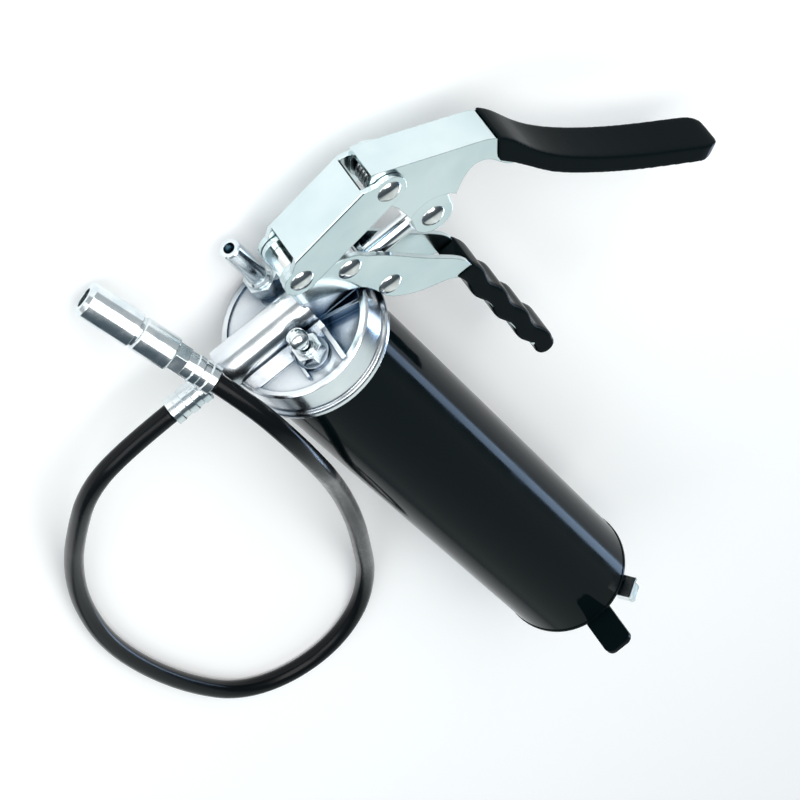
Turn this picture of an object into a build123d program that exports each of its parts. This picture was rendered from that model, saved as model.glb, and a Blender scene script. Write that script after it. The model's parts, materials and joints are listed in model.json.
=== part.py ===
from build123d import *
import os
import math

# Lever grease gun, lying on its side as it is put down on a bench, in millimetres.
# X runs along the barrel towards its tail, Y runs along the pump towards the handles,
# and Z is up, along the pivot pins. The parts are drawn with X = 0 at the lower edge of the head
# and with the barrel's axis on Y = Z = 0, and set down on the bench at the end.

# ---- driving dimensions -------------------------------------------------------------------
FIT = 0.06                      # radial clearance of a running pin in its hole
SNUG = 0.02                     # radial gap between pieces that are fixed together

BARREL_R = 28.5                 # 57 mm tube, for a 400 g cartridge
BARREL_WALL = 1.1
BARREL_END = 270.6
HEAD_TOP = -17.0                # rim of the head's top face
HEAD_R = 30.55
BEAD_R = 32.8
BEAD_HEIGHT = 4.2
HEAD_DEPTH = 11.0               # how far the barrel's socket goes up into the head

PUMP_X = -22.0                  # axis of the pump, crosswise over the head
PUMP_BOSS_R = 8.5
PLUNGER_R = 4.0
PLUNGER_FOOT = 14.6             # foot of the plunger at rest, clear of the feed hole
LUG_HALF = 5.75                 # flat-sided casting between the bracket plates
GLAND_Y = 38.9                  # top of the packing gland

PLATE = 2.2                     # sheet of the bracket and the link
BRACKET_IN = 5.9                # inner face of a bracket plate, from the middle plane
LINK_IN = 8.3                   # inner face of a link cheek
LEVER_OUT = 8.1                 # outer face of a lever cheek
LEVER_SHEET = 2.0
EAR_OUT = 5.7                   # outer face of the ears set in for the plunger pin
EAR_R = 14.4                    # the set-in of the ears

PIVOT_A = (-50.7, 15.7)         # link to bracket
PIVOT_B = (-59.7, 61.9)         # lever to link
PIVOT_C = (PUMP_X, 67.0)        # lever to plunger
RIVET_D = (-33.0, 31.0)
RIVET_E = (-8.0, 37.6)
PIN_R = 3.0
PLUNGER_PIN_R = 2.0
EYE_SLOT = 0.7                  # half travel of the pin across the plunger's eye
RIVET_HEAD_R = 5.0
RIVET_HEAD = 2.1

LINK_WEB = 11.0                 # web of the link, measured from the line of its pivots
LINK_EDGE = 7.3                 # open edge of the link, the other way
LINK_WEB_START = 5.75           # the web stops this far from each pivot

GRIP_Y = 62.3                   # middle line of the fixed grip
GRIP_START, GRIP_TIP = 14.0, 103.0
GRIP_HALF = 4.3
GRIP_WIDE = 8.6
GRIP_WAVE = 0.9
GRIP_PITCH = 22.5
VINYL = 1.1

ROD_R = 3.2
HANDLE_X = 277.4
HANDLE_THICK = 2.8
HANDLE_TOP, HANDLE_FOOT = 44.0, -10.0
HANDLE_WIDE = 13.0
FOLLOWER_X = 14.0
LATCH_ANGLE = 54.0              # from +Y towards +Z
LATCH_X = 273.6
LATCH_SCREW = -14.5
LATCH_TAB = (25.0, 34.0)        # how far out the thumb tab stands
LATCH_TRAVEL = 1.7

FILLER = (0.5, -21.5)           # place of the filler fitting on the head, as Y and Z
BLEEDER = (-0.6, 16.2)
SPOT_R = 6.8                    # spot face under each fitting
OUTLET_FACE = -31.6             # Y of the boss's outlet face

HOSE_D = 8.0
FERRULE_Y = (-41.0, -57.0)      # crimped ferrule at the outlet, from and to
HOSE_END = (-39.1, -34.4, 12.5)
COUPLER_AIM = (-0.74, -0.27, -0.616)

BENCH = BEAD_R                  # the bench is this far below the barrel's axis
MIDDLE = (105.25, 63.92)        # X and Y of the middle of the gun's own box

HOSE_ROUTE = [
    (PUMP_X, FERRULE_Y[1], 0.0),
    (PUMP_X, -83.3, 0.0),
    (-9.2, -104.2, -4.0),
    (19.1, -121.5, -12.5),
    (51.5, -137.3, -22.7),
    (84.5, -150.4, -27.8),
    (120.4, -158.3, -28.5),
    (157.5, -158.7, -28.7),
    (193.9, -153.8, -28.7),
    (223.9, -144.5, -28.7),
    (240.0, -126.1, -28.2),
    (243.5, -102.0, -28.0),
    (233.2, -79.9, -28.2),
    (208.6, -63.8, -26.0),
    (168.2, -53.4, -14.3),
    (130.7, -44.4, -3.6),
    (95.6, -37.9, 4.8),
    (65.4, -33.9, 14.4),
    (35.2, -30.1, 27.2),
    (-2.3, -27.5, 33.4),
]


# ---- helpers -------------------------------------------------------------------------------
def rod_x(radius, x0, x1, y=0.0, z=0.0):
    """A cylinder along X."""
    at = Plane(origin=(x0, y, z), x_dir=(0, 1, 0), z_dir=(1, 0, 0))
    return at * Cylinder(radius, x1 - x0, align=(Align.CENTER, Align.CENTER, Align.MIN))


def rod_y(radius, y0, y1, x=0.0, z=0.0):
    """A cylinder along Y."""
    at = Plane(origin=(x, y0, z), x_dir=(1, 0, 0), z_dir=(0, 1, 0))
    return at * Cylinder(radius, y1 - y0, align=(Align.CENTER, Align.CENTER, Align.MIN))


def rod_z(radius, z0, z1, at):
    """A cylinder along Z, at a point given as X and Y."""
    return Pos(at[0], at[1], z0) * Cylinder(
        radius, z1 - z0, align=(Align.CENTER, Align.CENTER, Align.MIN))


def block(low, high):
    """A box between two corners."""
    size = [b - a for a, b in zip(low, high)]
    middle = [(a + b) / 2 for a, b in zip(low, high)]
    return Pos(*middle) * Box(*size)


def slab(face, z0, z1):
    """A flat outline in the XY plane, from one height to another."""
    return extrude(Pos(0, 0, z0) * face, z1 - z0)


def hexagon_y(across, y0, y1, x, z=0.0):
    """A hexagon bar along Y."""
    at = Plane(origin=(x, y0, z), x_dir=(1, 0, 0), z_dir=(0, 1, 0))
    return extrude(at * RegularPolygon(across / 2, 6, major_radius=False), y1 - y0)


def hexagon_x(across, x0, x1, y, z):
    """A hexagon bar along X, with two flats square to Y."""
    at = Plane(origin=(x0, y, z), x_dir=(0, 0, 1), z_dir=(1, 0, 0))
    return extrude(at * RegularPolygon(across / 2, 6, major_radius=False), x1 - x0)


def turned(profile, origin, along):
    """A solid turned about an axis: the profile is a list of (radius, distance along)."""
    at = Plane(origin=origin, x_dir=across(along), z_dir=along)
    outline = Polyline(*[(r, 0, s) for r, s in profile], close=True)
    return at * revolve(make_face(outline), Axis.Z)


def across(along):
    """Any direction square to another."""
    a = Vector(*along).normalized()
    pick = Vector(0, 0, 1) if abs(a.Z) < 0.9 else Vector(0, 1, 0)
    return pick.cross(a).normalized()


def rivet(at, radius, half):
    """A rivet along Z with a low domed head at each end."""
    dome_r = (RIVET_HEAD_R ** 2 + RIVET_HEAD ** 2) / (2 * RIVET_HEAD)
    shape = rod_z(radius, -half, half, at)
    for side in (1, -1):
        ball = Pos(at[0], at[1], side * (half + RIVET_HEAD - dome_r)) * Sphere(dome_r)
        keep_low, keep_high = sorted((side * half, side * (half + RIVET_HEAD + 1)))
        keep = rod_z(RIVET_HEAD_R, keep_low, keep_high, at)
        shape += ball & keep
    return shape


def smooth(points):
    """A smooth line through points given as X and Y."""
    return Spline(*[(x, y, 0) for x, y in points])


def offset_line(points, distance):
    """The points moved sideways, to the left of their direction when distance is positive."""
    moved = []
    for i, (x, y) in enumerate(points):
        x0, y0 = points[max(i - 1, 0)]
        x1, y1 = points[min(i + 1, len(points) - 1)]
        length = math.hypot(x1 - x0, y1 - y0)
        moved.append((x - (y1 - y0) / length * distance, y + (x1 - x0) / length * distance))
    return moved


def helix_spring(origin, along, radius, wire_r, length, turns):
    """A coil spring as a wire swept along a helix."""
    at = Plane(origin=origin, x_dir=across(along), z_dir=along)
    path = Helix(pitch=length / turns, height=length, radius=radius)
    start = Plane(origin=path @ 0, z_dir=path % 0)
    return at * sweep(start * Circle(wire_r), path=path)


# ---- head and barrel -----------------------------------------------------------------------
def head():
    """The casting: cap for the barrel, pump boss across its top, and the lug for the bracket."""
    skirt = turned([(0, HEAD_TOP), (HEAD_R - 0.8, HEAD_TOP), (HEAD_R, HEAD_TOP + 0.8),
                    (HEAD_R + 0.6, -BEAD_HEIGHT), (BEAD_R - 0.5, -BEAD_HEIGHT + 0.5),
                    (BEAD_R, -BEAD_HEIGHT + 1.4), (BEAD_R, -1.0), (BEAD_R - 0.9, 0), (0, 0)],
                   (0, 0, 0), (1, 0, 0))
    shape = skirt
    # pockets beyond the cross wall, with a rim, a middle web and two ribs left standing
    pocket = rod_x(HEAD_R - 3.2, HEAD_TOP - 1, HEAD_TOP + 4.6)
    pocket &= block((-30, 9.2, -40), (0, 40, 40))
    for side in (-1, 1):
        pocket -= Pos(-15, 18, side * 8.6) * Rot(side * 14, 0, 0) * Box(30, 44, 1.5)
    pocket -= block((-30, 0, -LUG_HALF - 0.3), (0, 40, LUG_HALF + 0.3))
    shape -= pocket
    # shallow dish of the other half of the top face
    dish = rod_x(HEAD_R - 2.6, HEAD_TOP - 1, HEAD_TOP + 0.9)
    shape -= dish & block((-30, -40, -40), (0, 7.2, 40))
    # cross wall, and the thin rib beside the bleeder
    shape += block((HEAD_TOP - 1.0, 7.2, -27.0), (HEAD_TOP + 2, 9.2, 27.0))
    shape += block((HEAD_TOP - 1.2, -7.6, 5.0), (HEAD_TOP + 2, -6.4, 24.0))
    # pump boss with a foot that flares out to the top face
    boss = rod_y(PUMP_BOSS_R, OUTLET_FACE, 9.2, PUMP_X)
    foot = Plane(origin=(0, OUTLET_FACE + 2.0, 0), x_dir=(1, 0, 0), z_dir=(0, 1, 0)) * make_face(
        Polyline((HEAD_TOP + 2, 0, 0), (HEAD_TOP + 2, 13.5, 0), (HEAD_TOP + 0.4, 13.0, 0),
                 (PUMP_X + 2.2, 8.0, 0), (PUMP_X, 0, 0), close=True))
    foot = extrude(foot, 7.2 - OUTLET_FACE)
    foot &= rod_x(HEAD_R - 0.8, -40, 0)
    boss += foot + mirror(foot, Plane.XY)
    # lug between the bracket plates, rounded about its two rivets
    lug = slab(make_face(Polyline((-12.0, 8.0), (-30.5, 8.0), (-38.3, 29.0), (-38.3, 33.0),
                                  (-31.0, 37.0), (-13.4, 37.0), (-8.0, 43.1), (-2.5, 40.0),
                                  (-1.6, 35.5), (-12.0, 29.0), close=True)), -LUG_HALF, LUG_HALF)
    lug += rod_z(5.4, -LUG_HALF, LUG_HALF, RIVET_D) + rod_z(5.5, -LUG_HALF, LUG_HALF, RIVET_E)
    shape += boss + lug
    # spot faces for the two fittings, cut into the foot of the boss
    for y, z in (FILLER, BLEEDER):
        cut = rod_x(SPOT_R, HEAD_TOP - 12, HEAD_TOP - 0.6, y, z)
        pad = rod_x(SPOT_R - 0.1, HEAD_TOP - 0.6, HEAD_TOP + 2, y, z)
        shape -= cut - block((-60, 7.0, -60), (0, 60, 60))
        shape += pad & block((-60, -60, -60), (0, 7.2, 60))
    # bores: barrel socket, pump, gland seat, check-valve chamber, feed hole, outlet, fittings
    shape -= rod_x(BARREL_R + SNUG, -HEAD_DEPTH, 1)
    shape -= rod_y(PLUNGER_R + FIT, -2.0, GLAND_Y + 1, PUMP_X)
    shape -= rod_y(4.8, 32.0, GLAND_Y + 1, PUMP_X)
    shape -= rod_y(1.6, -8.0, 0.0, PUMP_X)
    shape -= rod_y(4.6, OUTLET_FACE - 1, -7.0, PUMP_X)
    shape -= rod_x(2.6, PUMP_X, 0, 5.0)
    shape -= rod_x(3.6, HEAD_TOP - 3, 0, *FILLER)
    shape -= rod_x(3.0, HEAD_TOP - 3, 0, *BLEEDER)
    for at in (RIVET_D, RIVET_E):
        shape -= rod_z(PIN_R + SNUG, -LUG_HALF - 1, LUG_HALF + 1, at)
    return shape


def barrel():
    inner = BARREL_R - BARREL_WALL
    return rod_x(BARREL_R, -HEAD_DEPTH + 1.6, BARREL_END) - rod_x(inner, -20, BARREL_END + 1)


def barrel_gasket():
    x0 = -HEAD_DEPTH + 0.05
    return rod_x(BARREL_R - 0.2, x0, x0 + 1.5) - rod_x(BARREL_R - 4, x0 - 1, x0 + 3)


def end_cap():
    """Pressed cup that closes the tail, with a rolled rim over the barrel's end."""
    inner = BARREL_R - BARREL_WALL - SNUG
    cup = turned([(0, 266.0), (inner, 266.0), (inner, BARREL_END + 0.1), (BARREL_R + 0.3, BARREL_END + 0.1),
                  (BARREL_R + 0.3, BARREL_END + 1.7), (BARREL_R - 0.5, 272.9), (BARREL_R - 2.2, 272.9),
                  (BARREL_R - 3.0, 271.9), (BARREL_R - 3.4, 269.4), (BARREL_R - 5.0, 267.6),
                  (0, 267.6)], (0, 0, 0), (1, 0, 0))
    cup += rod_x(6.5, 262.0, 273.4)
    cup += latch_boss(*latch_point(LATCH_SCREW))
    return cup - rod_x(ROD_R + FIT, 250, 290)


def latch_point(distance):
    """Y and Z of a point on the latch's middle line, at a distance out from the rod."""
    angle = math.radians(LATCH_ANGLE)
    return distance * math.cos(angle), distance * math.sin(angle)


def latch_boss(y, z):
    """Small raised seat for the latch screw, from the cap's floor to the back of the latch."""
    return rod_x(3.4, 266.5, LATCH_X - 0.1, y, z) - rod_x(1.5, 270.0, 290, y, z)


# ---- bracket and fixed grip ------------------------------------------------------------------
def bracket_outline():
    start = (-57.4, 13.3)
    line = Polyline((start[0], start[1]), (-48.7, 8.9), (-35.0, 7.9))
    belly = smooth([(-35.0, 7.9), (-28.6, 17.6), (-22.6, 25.2), (-18.0, 29.6), (-13.6, 31.4), (-8.0, 32.6)])
    toe = smooth([(-8.0, 32.6), (-2.2, 34.0), (3.0, 37.6), (10.0, 45.8), (14.5, 54.0), (20.0, 59.2)])
    tang = Polyline((20.0, 59.2), (92.0, 60.4), (92.0, 65.4), (20.0, 64.6))
    back = smooth([(20.0, 64.6), (13.0, 64.6), (4.0, 60.6), (-3.2, 56.1), (-20.9, 46.6), (-33.0, 38.8)])
    top = smooth([(-33.0, 38.8), (-39.6, 33.6), (-43.0, 27.0), (-47.0, 22.0)])
    close = Polyline((-47.0, 22.0), (-53.0, 22.6), (-57.4, 18.4), (start[0], start[1]))
    return make_face([line, belly, toe, tang, back, top, close]) + Pos(*PIVOT_A) * Circle(6.9)


def bracket_plate(side):
    low, high = sorted((side * BRACKET_IN, side * (BRACKET_IN + PLATE)))
    plate = slab(bracket_outline(), low, high)
    plate -= rod_z(PIN_R + FIT, low - 1, high + 1, PIVOT_A)
    for at in (RIVET_D, RIVET_E):
        plate -= rod_z(PIN_R + SNUG, low - 1, high + 1, at)
    return plate


def bracket_rivets():
    half = BRACKET_IN + PLATE + 0.02
    return Compound([rivet(at, PIN_R, half) for at in (RIVET_D, RIVET_E)])


def grip_edge(x, side):
    """Y of the wavy edge of the fixed grip."""
    lift = 0.025 * (x - GRIP_START)
    wave = GRIP_WAVE * math.cos(2 * math.pi * (x - 25.0) / GRIP_PITCH)
    return GRIP_Y - 0.4 + lift + wave + side * GRIP_HALF


def lower_grip():
    steps = [GRIP_START + 2.0 + i * (GRIP_TIP - GRIP_START - 7.0) / 16 for i in range(17)]
    upper = [(x, grip_edge(x, 1)) for x in steps]
    lower = [(x, grip_edge(x, -1)) for x in reversed(steps)]
    tip = (GRIP_TIP, (upper[-1][1] + lower[0][1]) / 2)
    nose = ThreePointArc(upper[-1], tip, lower[0])
    heel = Polyline(lower[-1], upper[0])
    body = slab(make_face([smooth(upper), nose, smooth(lower), heel]), -GRIP_WIDE, GRIP_WIDE)
    body = chamfer(body.edges().group_by(Axis.Z)[0] + body.edges().group_by(Axis.Z)[-1], 1.0)
    for side in (1, -1):
        body -= bracket_plate(side)
    return body


# ---- link and lever --------------------------------------------------------------------------
def link_plane():
    """Plane with its X along the link, from pivot A to pivot B, and its Y towards the web."""
    along = Vector(PIVOT_B[0] - PIVOT_A[0], PIVOT_B[1] - PIVOT_A[1], 0).normalized()
    return Plane(origin=(PIVOT_A[0], PIVOT_A[1], 0), x_dir=along, z_dir=(0, 0, 1))


LINK_LENGTH = math.dist(PIVOT_A, PIVOT_B)


def link():
    """Channel with its web outside and round ends about the two pins."""
    web0, web1 = LINK_WEB_START, LINK_LENGTH - LINK_WEB_START
    r = LINK_EDGE
    cheek = make_face(Polyline((0, -r), (LINK_LENGTH, -r), (LINK_LENGTH + 0.96 * r, 0.28 * r),
                               (web1, LINK_WEB), (web0, LINK_WEB), (-0.96 * r, 0.28 * r), close=True))
    cheek += Circle(r) + Pos(LINK_LENGTH, 0) * Circle(r)
    half = LINK_IN + PLATE
    shape = slab(cheek, -half, half)
    folds = [e for e in shape.edges().filter_by(GeomType.LINE)
             if abs(abs(e.center().Z) - half) < 0.01 and abs(e.center().Y - LINK_WEB) < 0.01]
    shape = fillet(folds, 1.2)
    shape -= block((-20, -20, -LINK_IN), (LINK_LENGTH + 20, LINK_WEB - PLATE, LINK_IN))
    shape -= block((-20, LINK_WEB - PLATE - 0.1, -LINK_IN), (web0, LINK_WEB + 1, LINK_IN))
    shape -= block((web1, LINK_WEB - PLATE - 0.1, -LINK_IN), (LINK_LENGTH + 20, LINK_WEB + 1, LINK_IN))
    for s in (0, LINK_LENGTH):
        shape -= rod_z(PIN_R + SNUG, -half - 1, half + 1, (s, 0))
    return link_plane() * shape


def pivot_pin(at):
    return rivet(at, PIN_R, LINK_IN + PLATE + 0.02)


def plunger_pin():
    return rivet(PIVOT_C, PLUNGER_PIN_R, EAR_OUT + 0.02)


LEVER_TOP = [(-35.6, 106.1), (-20.3, 110.7), (-1.8, 118.2), (10.5, 125.6), (31.9, 141.4), (55.0, 161.4)]
LEVER_TIP = (62.2, 167.6)         # the vinyl goes on past the steel, and is rounded there
LEVER_FRONT = (-71.5, 61.0)
LEVER_KNEE = (-44.0, 99.3)
KNEE_TURNS = [(0.583, 0.812), (0.918, 0.392)]   # the web's direction into and out of the knee


def lever_outline():
    """Side view of the steel lever: web along the top, ear about the plunger pin below."""
    back = smooth(LEVER_TOP)
    knee = Spline((*LEVER_KNEE, 0), (*LEVER_TOP[0], 0), tangents=KNEE_TURNS)
    web = Polyline(LEVER_FRONT, LEVER_KNEE)
    under = offset_line(LEVER_TOP, -6.0)[::-1]
    tip = Polyline(LEVER_TOP[-1], under[0])
    belly = smooth(under[:-1])
    heel = smooth([under[-2], (-25.9, 99.3), (-32.2, 96.5), (-34.8, 91.6), (-33.0, 86.0), (-27.4, 79.4)])
    ear = Polyline((-27.4, 79.4), (-30.6, 77.6), (-22.0, 75.4))
    turn = ThreePointArc((-22.0, 75.4), (-13.6, 67.0), (-22.0, 58.6))
    shin = Polyline((-22.0, 58.6), (-31.0, 60.6), (-44.3, 59.8), (-52.0, 57.4), (-57.0, 55.4),
                    (-61.5, 54.7), (-66.0, 57.0), LEVER_FRONT)
    return make_face([web, knee, back, tip, belly, heel, ear, turn, shin])


def lever():
    """Channel folded from sheet, open below, with two ears set in to hold the plunger pin."""
    outline = lever_outline()
    ring_in = Pos(*PIVOT_C) * Circle(EAR_R - 1.0)
    ring_out = Pos(*PIVOT_C) * Circle(EAR_R + 0.6)
    wall_in = LEVER_OUT - LEVER_SHEET
    shape = None
    for side in (1, -1):
        cheek = slab(outline - ring_in, *sorted((side * wall_in, side * LEVER_OUT)))
        ear = slab(outline & ring_out, *sorted((side * (EAR_OUT - LEVER_SHEET), side * EAR_OUT)))
        step = slab(outline & (ring_out - ring_in),
                    *sorted((side * (EAR_OUT - LEVER_SHEET), side * LEVER_OUT)))
        half = cheek + ear + step
        shape = half if shape is None else shape + half
    inside = offset_line([LEVER_FRONT, LEVER_KNEE], -LEVER_SHEET)
    inner_back = offset_line(LEVER_TOP, -LEVER_SHEET)
    web = make_face([
        Polyline(LEVER_FRONT, LEVER_KNEE),
        Spline((*LEVER_KNEE, 0), (*LEVER_TOP[0], 0), tangents=KNEE_TURNS),
        smooth(LEVER_TOP),
        Polyline(LEVER_TOP[-1], inner_back[-1]),
        smooth(inner_back[::-1]),
        Spline((*inner_back[0], 0), (*inside[1], 0), tangents=[(-x, -y) for x, y in KNEE_TURNS[::-1]]),
        Polyline(inside[1], inside[0], LEVER_FRONT)])
    shape += slab(web, -LEVER_OUT, LEVER_OUT)
    shape -= rod_z(PIN_R + FIT, -20, 20, PIVOT_B)
    shape -= rod_z(PLUNGER_PIN_R + SNUG, -20, 20, PIVOT_C)
    return shape


def lever_grip():
    """Dipped vinyl sleeve over the lever's long end, open below like the steel inside it."""
    start = [(-39.2, 104.0)]
    outer = offset_line(start + LEVER_TOP + [LEVER_TIP], VINYL)
    under = offset_line(LEVER_TOP + [LEVER_TIP], -7.1)[::-1]
    heel = (-27.6, 99.2)
    tip = (66.5, 167.4)
    outline = make_face([smooth(outer), ThreePointArc(outer[-1], tip, under[0]),
                         smooth(under[:-1] + [heel]), Polyline(heel, outer[0])])
    sleeve = slab(outline, -LEVER_OUT - VINYL, LEVER_OUT + VINYL)
    plan = Pos(-110, 0) * Rectangle(220, 2 * (LEVER_OUT + VINYL))
    plan = fillet(plan.vertices().group_by(Axis.X)[-1], 6.5)
    sleeve &= extrude(Plane(origin=(*tip, 0), x_dir=(0.758, 0.653, 0), z_dir=(-0.653, 0.758, 0)) * plan,
                      60, both=True)
    inner_top = offset_line(start + LEVER_TOP, -LEVER_SHEET - VINYL)
    inner_low = offset_line(start + LEVER_TOP, -14.0)[::-1]
    hollow = make_face([smooth(inner_top), Polyline(inner_top[-1], inner_low[0]),
                        smooth(inner_low), Polyline(inner_low[-1], inner_top[0])])
    half = LEVER_OUT - LEVER_SHEET - VINYL
    sleeve -= slab(hollow, -half, half)
    return sleeve - lever()


def return_spring():
    """Coil of the torsion spring round pin B. The legs that bear on the two webs aren't drawn."""
    return helix_spring((PIVOT_B[0], PIVOT_B[1], -5.1), (0, 0, 1), 5.6, 0.8, 10.2, 5.5)


# ---- pump ------------------------------------------------------------------------------------
def plunger():
    """Ground rod with a flattened eye; the eye is slotted crosswise for the pin's small arc."""
    rod = rod_y(PLUNGER_R, PLUNGER_FOOT, PIVOT_C[1] - 4, PUMP_X)
    eye = rod_z(6.0, -3.4, 3.4, PIVOT_C)
    eye += block((PUMP_X - 3.9, PIVOT_C[1] - 9, -3.4), (PUMP_X + 3.9, PIVOT_C[1], 3.4))
    slot = slab(Pos(*PIVOT_C) * SlotCenterToCenter(2 * EYE_SLOT, 2 * PLUNGER_PIN_R + 0.5), -9, 9)
    keep = block((-60, -10, -3.4), (20, 90, 3.4)) + block((-60, -10, -9), (20, PIVOT_C[1] - 9, 9))
    return ((rod & keep) + eye) - slot


def gland_nut():
    ring = turned([(PLUNGER_R + FIT, 36.0), (4.75, 36.0), (4.75, 37.05), (5.6, 37.05), (5.6, GLAND_Y),
                   (PLUNGER_R + FIT, GLAND_Y)], (PUMP_X, 0, 0), (0, 1, 0))
    return ring


def gland_packing():
    return rod_y(4.75, 32.05, 35.95, PUMP_X) - rod_y(PLUNGER_R + 0.05, 30, 40, PUMP_X)


def check_seat():
    return rod_y(4.55, -10.0, -7.05, PUMP_X) - rod_y(1.8, -11, -6, PUMP_X)


def check_ball():
    return Pos(PUMP_X, -12.46, 0) * Sphere(2.9)


def check_spring():
    return helix_spring((PUMP_X, -16.0, 0), (0, -1, 0), 2.2, 0.35, 5.6, 5)


def outlet_adapter():
    """Nipple screwed into the outlet, with a hexagon and a shoulder for the ferrule."""
    shape = rod_y(4.55, -33.0, -22.5, PUMP_X)
    shape += hexagon_y(11.0, -38.0, -31.65, PUMP_X)
    shape += rod_y(4.6, FERRULE_Y[0], -37.9, PUMP_X)
    return shape - rod_y(1.6, -60, -20, PUMP_X)


# ---- fittings on the head ----------------------------------------------------------------------
def filler_body():
    y, z = FILLER
    low = HEAD_TOP - 0.65
    shape = hexagon_x(12.4, low - 6.4, low, y, z)
    shape += turned([(0, low - 9.5), (4.6, low - 9.5), (5.4, low - 8.0), (5.4, low - 6.3), (0, low - 6.3)],
                    (0, y, z), (1, 0, 0))
    shape += turned([(0, -51.2), (3.6, -51.2), (4.2, -50.4), (4.2, low - 9.4), (0, low - 9.4)],
                    (0, y, z), (1, 0, 0))
    shape += rod_x(3.55, low - 0.1, -12.5, y, z)
    shape -= rod_x(2.3, -60, -27, y, z) + rod_x(1.4, -40, 0, y, z)
    return shape


def filler_ball():
    return Pos(-45.0, *FILLER) * Sphere(2.2)


def bleeder_body():
    y, z = BLEEDER
    low = HEAD_TOP - 0.65
    shape = hexagon_x(10.4, low - 5.6, low, y, z) + rod_x(3.9, low - 7.4, low - 5.5, y, z)
    shape += rod_x(2.95, low - 0.1, -12.5, y, z)
    return shape - rod_x(1.3 + FIT, -60, 0, y, z)


def bleeder_stem():
    y, z = BLEEDER
    stem = rod_x(1.3, -31.0, -13.5, y, z) + rod_x(2.5, -30.0, -25.9, y, z)
    return stem + Pos(-31.0, y, z) * Rot(0, 90, 0) * Sphere(4.2)


# ---- follower --------------------------------------------------------------------------------
def follower_rod():
    return rod_x(ROD_R, FOLLOWER_X - 6, HANDLE_X + HANDLE_THICK + 0.6)


def follower_nut():
    return hexagon_x(9.0, FOLLOWER_X - 5.6, FOLLOWER_X - 1.6, 0, 0) - rod_x(ROD_R + SNUG, 0, 40)


def follower_plate(x0):
    return rod_x(20.0, x0, x0 + 1.5) - rod_x(ROD_R + SNUG, x0 - 1, x0 + 3)


def follower_cup():
    """Rubber piston cup, with its lip towards the tail."""
    x = FOLLOWER_X
    return turned([(ROD_R + SNUG, x), (24.5, x), (27.1, x + 2.0), (27.1, x + 11.0), (25.4, x + 11.0),
                   (24.4, x + 3.5), (ROD_R + SNUG, x + 3.5)], (0, 0, 0), (1, 0, 0))


def main_spring():
    start = FOLLOWER_X + 5.1 + 1.4
    return helix_spring((start, 0, 0), (1, 0, 0), 18.0, 1.25, 264.6 - start, 15)


def rod_handle():
    """Flat pull handle set crosswise on the rod's end, longer on its upper side."""
    flat = Plane(origin=(HANDLE_X, 0, (HANDLE_TOP + HANDLE_FOOT) / 2), x_dir=(0, 0, 1), z_dir=(1, 0, 0))
    outline = Rectangle(HANDLE_TOP - HANDLE_FOOT, HANDLE_WIDE)
    bar = flat * extrude(fillet(outline.vertices(), 3.6), HANDLE_THICK)
    return bar - rod_x(ROD_R + SNUG, HANDLE_X - 1, HANDLE_X + HANDLE_THICK + 1)


def rod_latch():
    """Flat slide that grips the rod, with a thumb tab standing past the rim."""
    flat = Plane(origin=(LATCH_X, 0, 0), x_dir=(0, *latch_point(1.0)), z_dir=(1, 0, 0))
    length = LATCH_TAB[1] - LATCH_SCREW + 4.0
    plate = flat * extrude(Pos(LATCH_TAB[1] - length / 2, 0) * Rectangle(length, 9.6), 1.6)
    tab = Pos((LATCH_TAB[0] + LATCH_TAB[1]) / 2, 0, 0) * Box(
        LATCH_TAB[1] - LATCH_TAB[0], 9.6, 8.4, align=(Align.CENTER, Align.CENTER, Align.MIN))
    tab = fillet(tab.edges().group_by(Axis.Z)[-1] + tab.edges().filter_by(Axis.Z), 1.8)
    plate += flat * tab
    for centre, radius in ((0, ROD_R + 0.25), (LATCH_SCREW, 1.7)):
        slot = Pos(centre, 0) * SlotCenterToCenter(2 * LATCH_TRAVEL, 2 * radius)
        plate -= flat * Pos(0, 0, -1) * extrude(slot, 4)
    return plate


def latch_screw():
    y, z = latch_point(LATCH_SCREW)
    return rod_x(1.45, 270.1, LATCH_X + 1.75, y, z) + rod_x(3.2, LATCH_X + 1.7, LATCH_X + 3.4, y, z)


# ---- hose and coupler ---------------------------------------------------------------------------
def coupler_direction():
    return Vector(*COUPLER_AIM).normalized()


def hose_points():
    end = Vector(*HOSE_END)
    return [Vector(*p) for p in HOSE_ROUTE] + [end - coupler_direction() * 18.4, end]


def hose():
    points = hose_points()
    radii = []
    for a, b, c in zip(points, points[1:], points[2:]):
        turn = (b - a).get_angle(c - b)
        radii.append(0.45 * min((b - a).length, (c - b).length) / math.tan(math.radians(turn / 2)))
    print("hose runs", [round((b - a).length, 1) for a, b in zip(points, points[1:])])
    print("hose radii", [round(r, 1) for r in radii])
    path = FilletPolyline(*points, radius=radii)
    tube = sweep(Plane(origin=points[0], z_dir=path % 0) * Circle(HOSE_D / 2), path=path)
    print("hose length", round(path.length, 1), "volume ratio",
          round(tube.volume / (path.length * math.pi * HOSE_D ** 2 / 4), 4))
    return tube


def outlet_ferrule():
    profile = [(1.6, 0.05), (6.0, 0.05), (6.0, 3.0), (5.5, 3.4), (5.5, 6.0), (5.9, 6.4), (5.9, 9.4),
               (5.4, 9.8), (5.4, 12.6), (5.8, 13.0), (5.8, 15.95), (1.6, 15.95)]
    return turned(profile, (PUMP_X, FERRULE_Y[0], 0), (0, -1, 0))


def coupler_piece(profile):
    return turned(profile, HOSE_END, coupler_direction())


def end_ferrule():
    return coupler_piece([(1.6, 0.05), (5.9, 0.05), (5.9, 3.2), (5.4, 3.6), (5.4, 6.2), (5.8, 6.6),
                          (5.8, 9.4), (5.4, 9.8), (5.4, 13.6), (1.6, 13.6)])


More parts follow.
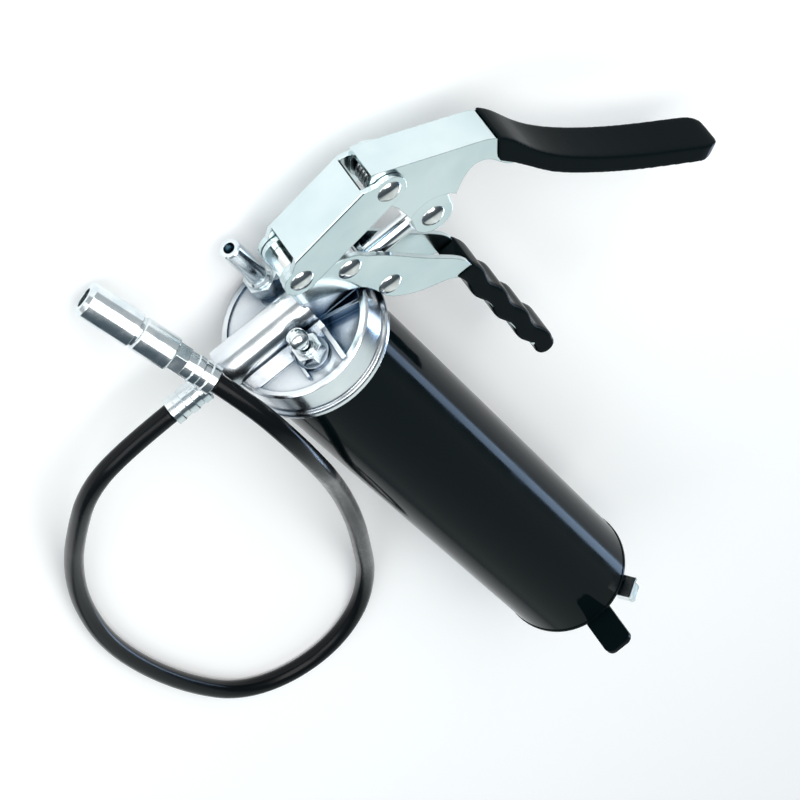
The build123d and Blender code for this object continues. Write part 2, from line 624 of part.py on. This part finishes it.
def coupler_adapter():
    along = coupler_direction()
    at = Plane(origin=Vector(*HOSE_END) + along * 13.65, x_dir=across(along), z_dir=along)
    bar = at * extrude(RegularPolygon(5.5, 6, major_radius=False), 5.3)
    bar += coupler_piece([(1.6, 18.9), (4.4, 18.9), (4.4, 23.0), (1.6, 23.0)])
    return bar - coupler_piece([(0, 10), (1.6, 10), (1.6, 30), (0, 30)])


def coupler_body():
    return coupler_piece([(4.42, 19.0), (6.6, 19.0), (7.0, 19.6), (7.0, 33.6), (6.3, 34.4), (6.3, 38.4),
                          (4.42, 38.4)])


def coupler_nose():
    return coupler_piece([(6.35, 35.9), (7.25, 35.9), (7.25, 56.6), (6.4, 58.5), (4.0, 58.5), (4.0, 56.6),
                          (5.2, 54.0), (5.2, 42.5), (4.42, 42.5), (4.42, 38.45), (6.35, 38.45)])


def coupler_jaws():
    """Four jaws that close on a grease nipple."""
    ring = coupler_piece([(3.3, 46.1), (5.1, 46.1), (5.1, 53.8), (3.9, 56.3), (3.0, 56.3), (3.3, 54.0)])
    along = coupler_direction()
    at = Plane(origin=Vector(*HOSE_END) + along * 50.0, x_dir=across(along), z_dir=along)
    for turn in (0, 90):
        ring -= at * Rot(0, 0, turn) * Box(0.9, 14, 18)
    return Compound(ring.solids())


def coupler_seal():
    return coupler_piece([(1.6, 42.6), (4.9, 42.6), (4.9, 45.9), (2.4, 45.9)])


def coupler_spring():
    along = coupler_direction()
    return helix_spring(Vector(*HOSE_END) + along * 24.2, along, 3.4, 0.45, 17.6, 7)


PARTS = {
    "head": head,
    "barrel": barrel,
    "barrel_gasket": barrel_gasket,
    "end_cap": end_cap,
    "bracket_plate_upper": lambda: bracket_plate(1),
    "bracket_plate_lower": lambda: bracket_plate(-1),
    "bracket_rivets": bracket_rivets,
    "fixed_grip": lower_grip,
    "link": link,
    "link_pin": lambda: pivot_pin(PIVOT_A),
    "lever_pin": lambda: pivot_pin(PIVOT_B),
    "return_spring": return_spring,
    "lever": lever,
    "lever_grip": lever_grip,
    "plunger_pin": plunger_pin,
    "plunger": plunger,
    "gland_nut": gland_nut,
    "gland_packing": gland_packing,
    "check_seat": check_seat,
    "check_ball": check_ball,
    "check_spring": check_spring,
    "outlet_adapter": outlet_adapter,
    "filler_fitting": filler_body,
    "filler_ball": filler_ball,
    "bleeder_body": bleeder_body,
    "bleeder_stem": bleeder_stem,
    "follower_rod": follower_rod,
    "follower_nut": follower_nut,
    "follower_front_plate": lambda: follower_plate(FOLLOWER_X - 1.55),
    "follower_cup": follower_cup,
    "follower_rear_plate": lambda: follower_plate(FOLLOWER_X + 3.55),
    "main_spring": main_spring,
    "rod_handle": rod_handle,
    "rod_latch": rod_latch,
    "latch_screw": latch_screw,
    "outlet_ferrule": outlet_ferrule,
    "hose": hose,
    "end_ferrule": end_ferrule,
    "coupler_adapter": coupler_adapter,
    "coupler_body": coupler_body,
    "coupler_nose": coupler_nose,
    "coupler_jaws": coupler_jaws,
    "coupler_seal": coupler_seal,
    "coupler_spring": coupler_spring,
}

os.makedirs("parts", exist_ok=True)
set_down = Location((-MIDDLE[0], -MIDDLE[1], BENCH))
for node, make in PARTS.items():
    export_step(set_down * make(), f"parts/{node}.step")
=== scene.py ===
import json
import math

import bmesh
import bpy
from mathutils import Euler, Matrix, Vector


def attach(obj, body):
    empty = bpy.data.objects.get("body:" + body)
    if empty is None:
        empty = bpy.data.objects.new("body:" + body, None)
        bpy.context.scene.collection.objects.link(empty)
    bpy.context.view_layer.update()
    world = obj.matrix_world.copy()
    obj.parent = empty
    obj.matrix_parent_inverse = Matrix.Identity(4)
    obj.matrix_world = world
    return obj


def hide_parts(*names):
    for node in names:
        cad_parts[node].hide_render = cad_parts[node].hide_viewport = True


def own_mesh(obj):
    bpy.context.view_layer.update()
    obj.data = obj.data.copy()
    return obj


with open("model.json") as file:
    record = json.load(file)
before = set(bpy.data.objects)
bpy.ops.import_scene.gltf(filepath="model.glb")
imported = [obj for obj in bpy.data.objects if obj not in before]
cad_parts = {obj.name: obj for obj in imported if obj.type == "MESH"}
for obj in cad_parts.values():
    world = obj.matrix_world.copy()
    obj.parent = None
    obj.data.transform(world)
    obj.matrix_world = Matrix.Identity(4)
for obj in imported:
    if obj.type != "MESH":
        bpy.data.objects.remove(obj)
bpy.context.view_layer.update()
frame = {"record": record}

GUN_MIDDLE = (105.25, 63.92)
BENCH = 32.8


def place(x, y, z):
    """A point in the gun's own millimetres, barrel axis on Y = Z = 0, as a place in the row frame."""
    return Vector((x - GUN_MIDDLE[0], y - GUN_MIDDLE[1], z + BENCH)) / 1000


# ---- camera --------------------------------------------------------------------------------
camera = bpy.data.objects.new("camera", bpy.data.cameras.new("camera"))
bpy.context.collection.objects.link(camera)
camera.location = (-1.28924, 0.07713, 0.81461)
camera.rotation_euler = Euler([math.radians(a) for a in (-52.745, -29.735, 63.207)])
camera.data.lens = 167.7
camera.data.sensor_width = 36
camera.data.clip_end = 20
bpy.context.scene.camera = camera


# ---- hose ----------------------------------------------------------------------------------
HOSE_D = 0.008
HOSE_STEP = 0.002
FERRULE_REACH = 18.4
HOSE_END = Vector((-39.1, -34.4, 12.5))
COUPLER_AIM = Vector((-0.74, -0.27, -0.616)).normalized()
HOSE_ROUTE = [
    (-22.0, -57.0, 0.0),
    (-22.0, -83.3, 0.0),
    (-9.2, -104.2, -4.0),
    (19.1, -121.5, -12.5),
    (51.5, -137.3, -22.7),
    (84.5, -150.4, -27.8),
    (120.4, -158.3, -28.5),
    (157.5, -158.7, -28.7),
    (193.9, -153.8, -28.7),
    (223.9, -144.5, -28.7),
    (240.0, -126.1, -28.2),
    (243.5, -102.0, -28.0),
    (233.2, -79.9, -28.2),
    (208.6, -63.8, -26.0),
    (168.2, -53.4, -14.3),
    (130.7, -44.4, -3.6),
    (95.6, -37.9, 4.8),
    (65.4, -33.9, 14.4),
    (35.2, -30.1, 27.2),
    (-2.3, -27.5, 33.4),
    tuple(HOSE_END - COUPLER_AIM * FERRULE_REACH),
    tuple(HOSE_END),
]


def hose_line():
    """Points along the smooth line of the hose, read from its own spline."""
    data = bpy.data.curves.new("hose_route", "CURVE")
    data.dimensions = "3D"
    data.resolution_u = 30
    spline = data.splines.new("NURBS")
    spline.points.add(len(HOSE_ROUTE) - 1)
    for point, at in zip(spline.points, HOSE_ROUTE):
        point.co = (*place(*at), 1)
    spline.order_u = 3
    spline.use_endpoint_u = True
    route = bpy.data.objects.new("hose_route", data)
    bpy.context.collection.objects.link(route)
    bpy.context.view_layer.update()
    mesh = bpy.data.meshes.new_from_object(route)
    points = [v.co.copy() for v in mesh.vertices]
    bpy.data.meshes.remove(mesh)
    bpy.data.objects.remove(route)
    return points


def evenly(points, step):
    """The same line, with a point at each step of its length."""
    out = [points[0].copy()]
    left = step
    for a, b in zip(points, points[1:]):
        length = (b - a).length
        done = 0.0
        while length - done >= left:
            done += left
            out.append(a.lerp(b, done / length))
            left = step
        left -= length - done
    out.append(points[-1].copy())
    return out


def tube(name, points, radius, sides=32):
    """Round tube along points, with U along its length in millimetres and V once round it."""
    bm = bmesh.new()
    uv = bm.loops.layers.uv.new("UVMap")
    side = Vector((0, 0, 1))
    rings, along, total = [], [], 0.0
    for i, p in enumerate(points):
        ahead = (points[min(i + 1, len(points) - 1)] - points[max(i - 1, 0)]).normalized()
        side = (side - ahead * side.dot(ahead)).normalized()
        other = ahead.cross(side)
        if i:
            total += (p - points[i - 1]).length
        along.append(total * 1000)
        ring = []
        for k in range(sides):
            a = 2 * math.pi * k / sides
            ring.append(bm.verts.new(p + (side * math.cos(a) + other * math.sin(a)) * radius))
        rings.append(ring)
    for i, (ring, following) in enumerate(zip(rings, rings[1:])):
        for k in range(sides):
            j = (k + 1) % sides
            face = bm.faces.new((ring[k], ring[j], following[j], following[k]))
            face.smooth = True
            spots = ((along[i], k), (along[i], k + 1), (along[i + 1], k + 1), (along[i + 1], k))
            for loop, (u, v) in zip(face.loops, spots):
                loop[uv].uv = (u, v / sides)
    bm.faces.new(list(reversed(rings[0])))
    bm.faces.new(rings[-1])
    mesh = bpy.data.meshes.new(name)
    bm.to_mesh(mesh)
    bm.free()
    piece = bpy.data.objects.new(name, mesh)
    bpy.context.collection.objects.link(piece)
    return piece


# ---- materials ------------------------------------------------------------------------------
class Shader:
    """A material's node tree, with short ways to add what most of them need."""

    def __init__(self, name, colour, rough, metal=0.0):
        self.material = bpy.data.materials.new(name)
        self.material.use_nodes = True
        self.tree = self.material.node_tree
        self.bsdf = self.tree.nodes["Principled BSDF"]
        self.bsdf.inputs["Base Color"].default_value = (*colour, 1)
        self.bsdf.inputs["Roughness"].default_value = rough
        self.bsdf.inputs["Metallic"].default_value = metal
        self.normal = None

    def add(self, kind, **values):
        node = self.tree.nodes.new(kind)
        for key, value in values.items():
            if key in node.inputs:
                node.inputs[key].default_value = value
            else:
                setattr(node, key, value)
        return node

    def link(self, a, b):
        self.tree.links.new(a, b)

    def spot(self, stretch):
        """The place on the object, stretched, for a texture to be read at."""
        coord = self.add("ShaderNodeTexCoord")
        mapping = self.add("ShaderNodeMapping")
        mapping.inputs["Scale"].default_value = stretch
        self.link(coord.outputs["Object"], mapping.inputs["Vector"])
        return mapping.outputs["Vector"]

    def noise(self, scale, detail, stretch=(1, 1, 1)):
        node = self.add("ShaderNodeTexNoise", Scale=scale, Detail=detail)
        self.link(self.spot(stretch), node.inputs["Vector"])
        return node.outputs["Fac"]

    def vary_rough(self, fac, low, high):
        ramp = self.add("ShaderNodeMapRange")
        ramp.inputs["From Min"].default_value = 0.3
        ramp.inputs["From Max"].default_value = 0.7
        ramp.inputs["To Min"].default_value = low
        ramp.inputs["To Max"].default_value = high
        self.link(fac, ramp.inputs["Value"])
        self.link(ramp.outputs["Result"], self.bsdf.inputs["Roughness"])

    def vary_colour(self, fac, dark, light):
        ramp = self.add("ShaderNodeValToRGB")
        low, high = ramp.color_ramp.elements
        low.position, low.color = 0.35, (*dark, 1)
        high.position, high.color = 0.65, (*light, 1)
        self.link(fac, ramp.inputs["Fac"])
        self.link(ramp.outputs["Color"], self.bsdf.inputs["Base Color"])

    def rounded(self, radius):
        """Light catches edges as if they were broken by this radius."""
        node = self.add("ShaderNodeBevel", samples=6)
        node.inputs["Radius"].default_value = radius
        self.normal = node.outputs["Normal"]
        self.link(self.normal, self.bsdf.inputs["Normal"])

    def paint_hollow_shade(self, reach, dark, closed, open_at):
        """Painted shade: darken the colour in pockets and folds towards a dark colour, the more
        closed in they are.
        """
        # painted shade: ambient occlusion mixes the base colour towards the dark colour in recesses
        hollow = self.add("ShaderNodeAmbientOcclusion", samples=8)
        hollow.inputs["Distance"].default_value = reach
        ramp = self.add("ShaderNodeMapRange")
        ramp.inputs["From Min"].default_value = closed
        ramp.inputs["From Max"].default_value = open_at
        self.link(hollow.outputs["AO"], ramp.inputs["Value"])
        mix = self.add("ShaderNodeMix", data_type="RGBA")
        shade_in, unshaded_in, mixed = mix.inputs[6], mix.inputs[7], mix.outputs[2]
        base = self.bsdf.inputs["Base Color"]
        unshaded = base.links[0].from_socket
        self.link(ramp.outputs["Result"], mix.inputs["Factor"])
        self.link(unshaded, unshaded_in)
        shade_in.default_value = (*dark, 1)
        self.link(mixed, base)

    def bump(self, fac, height, strength):
        node = self.add("ShaderNodeBump")
        node.inputs["Strength"].default_value = strength
        node.inputs["Distance"].default_value = height
        self.link(fac, node.inputs["Height"])
        if self.normal is not None:
            self.link(self.normal, node.inputs["Normal"])
        self.normal = node.outputs["Normal"]
        self.link(self.normal, self.bsdf.inputs["Normal"])


def cast_aluminium():
    m = Shader("cast_aluminium", (0.84, 0.87, 0.89), 0.2, 1.0)
    m.vary_colour(m.noise(45, 5), (0.78, 0.82, 0.85), (0.90, 0.92, 0.93))
    # painted shade: the head's pockets and recesses darkened to a dark blue
    m.paint_hollow_shade(0.014, (0.045, 0.085, 0.135), 0.42, 0.94)
    m.vary_rough(m.noise(120, 5), 0.14, 0.24)
    m.rounded(0.0006)
    m.bump(m.noise(700, 3), 0.00001, 0.5)
    return m.material


def black_enamel():
    m = Shader("black_enamel", (0.002, 0.005, 0.006), 0.1)
    m.bsdf.inputs["IOR"].default_value = 1.085
    m.vary_rough(m.noise(40, 5), 0.07, 0.13)
    m.rounded(0.0004)
    m.bump(m.noise(180, 2), 0.000006, 0.5)
    return m.material


def plated_sheet():
    m = Shader("plated_sheet", (0.80, 0.87, 0.88), 0.16, 1.0)
    m.vary_colour(m.noise(18, 4), (0.53, 0.65, 0.67), (0.74, 0.82, 0.83))
    # painted shade: the insides of the sheet channels and folds darkened
    m.paint_hollow_shade(0.014, (0.05, 0.07, 0.08), 0.25, 0.6)
    m.vary_rough(m.noise(90, 6, (1, 1, 5)), 0.12, 0.22)
    m.rounded(0.0005)
    m.bump(m.noise(400, 4, (1, 1, 6)), 0.000008, 0.5)
    return m.material


def plated_pins():
    m = Shader("plated_pins", (0.80, 0.80, 0.78), 0.14, 1.0)
    m.vary_colour(m.noise(160, 4), (0.66, 0.66, 0.64), (0.88, 0.88, 0.86))
    m.vary_rough(m.noise(300, 4), 0.08, 0.18)
    m.rounded(0.0003)
    return m.material


def black_vinyl():
    m = Shader("black_vinyl", (0.003, 0.006, 0.007), 0.12)
    m.bsdf.inputs["IOR"].default_value = 1.08
    m.vary_rough(m.noise(60, 5), 0.09, 0.18)
    m.bump(m.noise(70, 2), 0.00008, 0.35)
    return m.material


def ground_steel():
    m = Shader("ground_steel", (0.80, 0.82, 0.83), 0.1, 1.0)
    m.vary_rough(m.noise(250, 4, (6, 1, 6)), 0.06, 0.14)
    m.rounded(0.0003)
    m.bump(m.noise(900, 3, (1, 8, 1)), 0.000004, 0.4)
    return m.material


def zinc_fittings():
    m = Shader("zinc_fittings", (0.76, 0.82, 0.84), 0.18, 1.0)
    m.vary_colour(m.noise(120, 5), (0.66, 0.73, 0.76), (0.86, 0.89, 0.90))
    # painted shade: the fittings' recesses and the spots between their parts darkened to a dark teal
    m.paint_hollow_shade(0.006, (0.12, 0.20, 0.24), 0.3, 0.85)
    m.vary_rough(m.noise(260, 5), 0.11, 0.24)
    m.rounded(0.0004)
    m.bump(m.noise(900, 3), 0.000008, 0.5)
    return m.material


def spring_steel():
    m = Shader("spring_steel", (0.42, 0.43, 0.44), 0.3, 1.0)
    m.vary_colour(m.noise(300, 4), (0.30, 0.31, 0.32), (0.52, 0.53, 0.54))
    m.vary_rough(m.noise(400, 3), 0.2, 0.4)
    return m.material


def plain_steel():
    m = Shader("plain_steel", (0.5, 0.52, 0.53), 0.34, 1.0)
    m.vary_rough(m.noise(200, 5), 0.26, 0.44)
    m.rounded(0.0003)
    return m.material


def black_rubber():
    m = Shader("black_rubber", (0.010, 0.010, 0.011), 0.5)
    m.vary_rough(m.noise(300, 4), 0.42, 0.6)
    m.rounded(0.0003)
    m.bump(m.noise(1500, 3), 0.00001, 0.6)
    return m.material


def hose_rubber():
    """Satin cover pressed with fine ribs round the hose and a faint fine grain."""
    m = Shader("hose_rubber", (0.004, 0.005, 0.006), 0.2)
    m.bsdf.inputs["IOR"].default_value = 1.22
    uv = m.add("ShaderNodeUVMap")
    wave = m.add("ShaderNodeTexWave", wave_type="BANDS", bands_direction="X")
    wave.inputs["Scale"].default_value = 0.32
    wave.inputs["Distortion"].default_value = 0.6
    m.link(uv.outputs["UV"], wave.inputs["Vector"])
    m.vary_rough(m.noise(220, 5), 0.14, 0.24)
    m.bump(wave.outputs["Fac"], 0.00003, 0.5)
    m.bump(m.noise(1300, 3), 0.00001, 0.5)
    return m.material


FINISHES = {
    "cast_head": cast_aluminium,
    "black_enamel": black_enamel,
    "plated_sheet": plated_sheet,
    "plated_pins": plated_pins,
    "black_vinyl": black_vinyl,
    "ground_steel": ground_steel,
    "zinc_fittings": zinc_fittings,
    "spring_steel": spring_steel,
    "plain_steel": plain_steel,
    "black_rubber": black_rubber,
}
MATERIALS = {slot: make() for slot, make in FINISHES.items()}
SLOT_OF = {s["node"]: s["material_slot"] for s in frame["record"]["subparts"]}
BODIES = frame["record"]["behaviour"]["bodies"]
BODY_OF = {node: body for body, nodes in BODIES.items() for node in nodes}


def dress(piece, material):
    piece.data.materials.clear()
    piece.data.materials.append(material)


def softened(node, voxel, passes):
    """A copy of a node whose edges and corners are rounded, as by casting or dipping."""
    piece = bpy.data.objects.new(node + "_shape", bpy.data.objects[node].data.copy())
    bpy.context.collection.objects.link(piece)
    remesh = piece.modifiers.new("remesh", "REMESH")
    remesh.mode = "VOXEL"
    remesh.voxel_size = voxel
    remesh.use_smooth_shade = True
    smooth = piece.modifiers.new("smooth", "SMOOTH")
    smooth.factor = 0.5
    smooth.iterations = passes
    bpy.context.view_layer.update()
    evaluated = piece.evaluated_get(bpy.context.evaluated_depsgraph_get())
    mesh = bpy.data.meshes.new_from_object(evaluated)
    piece.modifiers.clear()
    piece.data = mesh
    dress(piece, MATERIALS[SLOT_OF[node]])
    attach(piece, BODY_OF[node])
    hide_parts(node)
    return piece


NOSE_ALONG, NOSE_UP = Vector((0.758, 0.653, 0)), Vector((-0.653, 0.758, 0))
NOSE_MIDDLE = place(64.16, 165.3, 0)
NOSE_LAST = 0.0031                # the very end, along from the middle


def drawn_in(s, reach, most):
    """How much of its size a section keeps, from all of it at reach from the end."""
    share = min(max((s - NOSE_LAST) / reach + 1, 0), 1)
    return math.sqrt(1 - (most * share) ** 2)


def rounded_end(piece):
    """Draw in the last millimetres of the lever's grip, past the steel, to a round nose."""
    for vertex in piece.data.vertices:
        offset = vertex.co - NOSE_MIDDLE
        s, h, z = offset.dot(NOSE_ALONG), offset.dot(NOSE_UP), offset.z
        vertex.co = NOSE_MIDDLE + NOSE_ALONG * s + NOSE_UP * h * drawn_in(s, 0.008, 0.80)
        vertex.co.z = NOSE_MIDDLE.z + z * drawn_in(s, 0.012, 0.86)


for node, slot in SLOT_OF.items():
    dress(bpy.data.objects[node], MATERIALS[slot])

softened("fixed_grip", 0.0007, 9)
rounded_end(softened("lever_grip", 0.0006, 14))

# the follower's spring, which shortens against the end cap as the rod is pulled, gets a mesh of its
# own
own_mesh(bpy.data.objects["main_spring"])

line = evenly(hose_line(), HOSE_STEP)
hose = tube("hose_cover", line, HOSE_D / 2)
dress(hose, hose_rubber())
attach(hose, "gun")
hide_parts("hose")


# ---- floor, light and surroundings ----------------------------------------------------------
def floor():
    """White paper that gives off a little light of its own, so that it renders white."""
    bm = bmesh.new()
    bmesh.ops.create_grid(bm, x_segments=8, y_segments=8, size=6)
    mesh = bpy.data.meshes.new("floor")
    bm.to_mesh(mesh)
    bm.free()
    piece = bpy.data.objects.new("floor", mesh)
    bpy.context.collection.objects.link(piece)
    m = Shader("floor_paper", (0.93, 0.93, 0.93), 0.7)
    m.vary_rough(m.noise(20, 3), 0.65, 0.8)
    m.bsdf.inputs["Emission Color"].default_value = (1, 1, 1, 1)
    m.bsdf.inputs["Emission Strength"].default_value = 0.14
    dress(piece, m.material)


def area_light(name, at, aim, size, power, colour=(1, 1, 1)):
    data = bpy.data.lights.new(name, "AREA")
    data.shape = "RECTANGLE"
    data.size, data.size_y = size
    data.energy = power
    data.color = colour
    lamp = bpy.data.objects.new(name, data)
    lamp.location = at
    lamp.rotation_euler = (Vector(aim) - Vector(at)).to_track_quat("-Z", "Y").to_euler()
    bpy.context.collection.objects.link(lamp)


CARD = Vector((0.846, -0.09, 0.526)).normalized()
# from straight away from the card to straight towards it
AWAY, TOWARDS = (0.40, 0.43, 0.45), (0.80, 0.88, 0.88)
STUDIO = [
    (0.50, (0.50, 0.53, 0.55)),
    (0.66, (0.10, 0.13, 0.15)),
    (0.86, (0.06, 0.08, 0.10)),
    (0.92, (0.70, 0.78, 0.78)),
]


def surroundings():
    """Studio seen in the metal: a pale card past the tail, a dark band round it, grey elsewhere."""
    world = bpy.data.worlds.new("studio")
    bpy.context.scene.world = world
    world.use_nodes = True
    tree = world.node_tree
    coord = tree.nodes.new("ShaderNodeTexCoord")
    toward = tree.nodes.new("ShaderNodeVectorMath")
    toward.operation = "DOT_PRODUCT"
    toward.inputs[1].default_value = CARD
    span = tree.nodes.new("ShaderNodeMapRange")
    span.inputs["From Min"].default_value = -1.0
    ramp = tree.nodes.new("ShaderNodeValToRGB")
    tree.links.new(coord.outputs["Generated"], toward.inputs[0])
    tree.links.new(toward.outputs["Value"], span.inputs["Value"])
    tree.links.new(span.outputs["Result"], ramp.inputs["Fac"])
    stops = ramp.color_ramp.elements
    stops[0].position, stops[0].color = 0.0, (*AWAY, 1)
    stops[1].position, stops[1].color = 1.0, (*TOWARDS, 1)
    for position, colour in STUDIO:
        stops.new(position).color = (*colour, 1)
    background = tree.nodes["Background"]
    tree.links.new(ramp.outputs["Color"], background.inputs["Color"])
    background.inputs["Strength"].default_value = 1.0


floor()
surroundings()
area_light("key", (-1.4, 0.5, 1.5), (0, 0, 0), (1.8, 1.8), 39, (1.0, 0.99, 0.97))
area_light("fill", (-1.2, -0.9, 0.9), (0, 0, 0), (1.2, 0.9), 11, (0.95, 0.98, 1.0))
area_light("edge_strip", (1.3, 0.80, 0.11), (0.05, 0, 0.06), (1.2, 0.20), 7, (0.50, 0.70, 1.0))
bpy.context.scene.view_settings.view_transform = "Standard"
